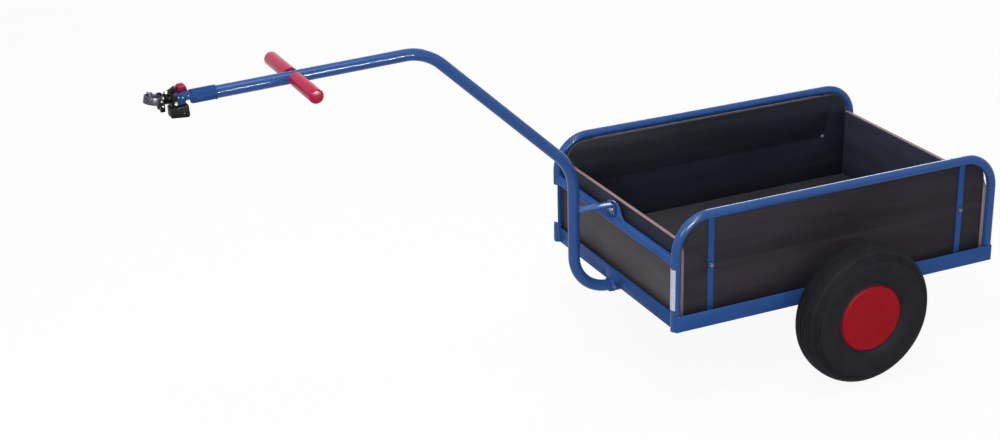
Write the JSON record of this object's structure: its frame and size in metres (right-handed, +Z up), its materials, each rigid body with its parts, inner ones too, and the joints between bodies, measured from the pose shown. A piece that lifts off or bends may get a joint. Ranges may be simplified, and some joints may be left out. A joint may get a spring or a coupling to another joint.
{
  "type": "bicycle trailer",
  "caption": "Open box trailer for towing by bicycle or hand: tube frame, board walls, pneumatic wheels, bent drawbar with cross handle and seat-post coupling.",
  "frame": {"origin": "centre of the bounding box in plan, on the plane that the tyres stand on", "axes": "+X to the rear of the trailer, +Z up; the coupling points along -X and the drawbar lies in the plane Y = 0"},
  "size_m": [1.9282, 0.854, 0.8268],
  "materials": {
    "blue_paint": "gloss blue powder coat",
    "film_board": "dark brown film face, plywood edges",
    "zinc_steel": "bright zinc plate",
    "steel_tube": "plain",
    "red_plastic": "satin red",
    "reflective_film": "retroreflective white film",
    "tyre_rubber": "matt",
    "tube_rubber": "matt",
    "rim_paint": "black paint",
    "bush_plastic": "moulded",
    "black_steel": "satin black",
    "black_plastic": "satin black",
    "dark_band": "dark anodised"
  },
  "bodies": {
    "frame": {"side_hoop_left": "blue_paint", "side_hoop_right": "blue_paint", "side_rail_left": "blue_paint", "side_rail_right": "blue_paint", "front_rail": "blue_paint", "rear_rail": "blue_paint", "front_crossbar": "blue_paint", "rear_crossbar": "blue_paint", "upright_bar_front_left": "blue_paint", "upright_bar_front_right": "blue_paint", "upright_bar_rear_left": "blue_paint", "upright_bar_rear_right": "blue_paint", "floor_tube_front": "blue_paint", "floor_tube_middle": "blue_paint", "floor_tube_rear": "blue_paint", "drawbar_tube": "blue_paint", "drawbar_socket": "blue_paint", "drawbar_lug": "blue_paint", "drawbar_strut": "blue_paint", "axle_saddle_left": "blue_paint", "axle_saddle_right": "blue_paint", "hitch_channel": "blue_paint", "floor_board": "film_board", "front_board": "film_board", "rear_board": "film_board", "side_board_left": "film_board", "side_board_right": "film_board", "board_bolt_front_left": "zinc_steel", "board_bolt_front_right": "zinc_steel", "board_bolt_rear_left": "zinc_steel", "board_bolt_rear_right": "zinc_steel", "socket_bolt": "zinc_steel", "strut_bolt": "zinc_steel", "axle": "zinc_steel", "axle_nut_left": "zinc_steel", "axle_nut_right": "zinc_steel", "pitch_pin": "zinc_steel", "handle_tube": "steel_tube", "grip_left": "red_plastic", "grip_right": "red_plastic", "reflective_strip_left": "reflective_film", "reflective_strip_right": "reflective_film"},
    "wheel_left": {"tyre_left": "tyre_rubber", "inner_tube_left": "tube_rubber", "rim_left": "rim_paint", "wheel_bush_left": "bush_plastic", "wheel_cover_left": "red_plastic"},
    "wheel_right": {"tyre_right": "tyre_rubber", "inner_tube_right": "tube_rubber", "rim_right": "rim_paint", "wheel_bush_right": "bush_plastic", "wheel_cover_right": "red_plastic"},
    "coupling": {"coupling_head": "black_steel", "latch_housing": "black_plastic", "yaw_pin": "zinc_steel"},
    "lock_lever": {"lock_lever": "black_steel", "lever_grip": "red_plastic"},
    "post_clamp": {"clamp_block": "black_steel", "clamp_band": "dark_band", "clamp_band_bolt": "zinc_steel"}
  },
  "joints": [
    {"name": "wheel_left_spin", "type": "hinge", "parent": "frame", "child": "wheel_left", "pos_m": [0.53411, -0.383, 0.165], "axis": [0, 1, 0], "continuous": true},
    {"name": "wheel_right_spin", "type": "hinge", "parent": "frame", "child": "wheel_right", "pos_m": [0.53411, 0.383, 0.165], "axis": [0, 1, 0], "continuous": true},
    {"name": "coupling_pitch", "type": "hinge", "parent": "frame", "child": "coupling", "pos_m": [-0.9019, 0, 0.7933], "axis": [0, -1, 0], "range_deg": [-6, 15]},
    {"name": "lock_lever_swing", "type": "hinge", "parent": "coupling", "child": "lock_lever", "pos_m": [-0.90339, 0, 0.8078], "axis": [0, -1, 0], "range_deg": [0, 35]},
    {"name": "clamp_yaw", "type": "hinge", "parent": "coupling", "child": "post_clamp", "pos_m": [-0.91639, 0, 0.8018], "axis": [0, 0, 1], "range_deg": [-40, 40]}
  ]
}
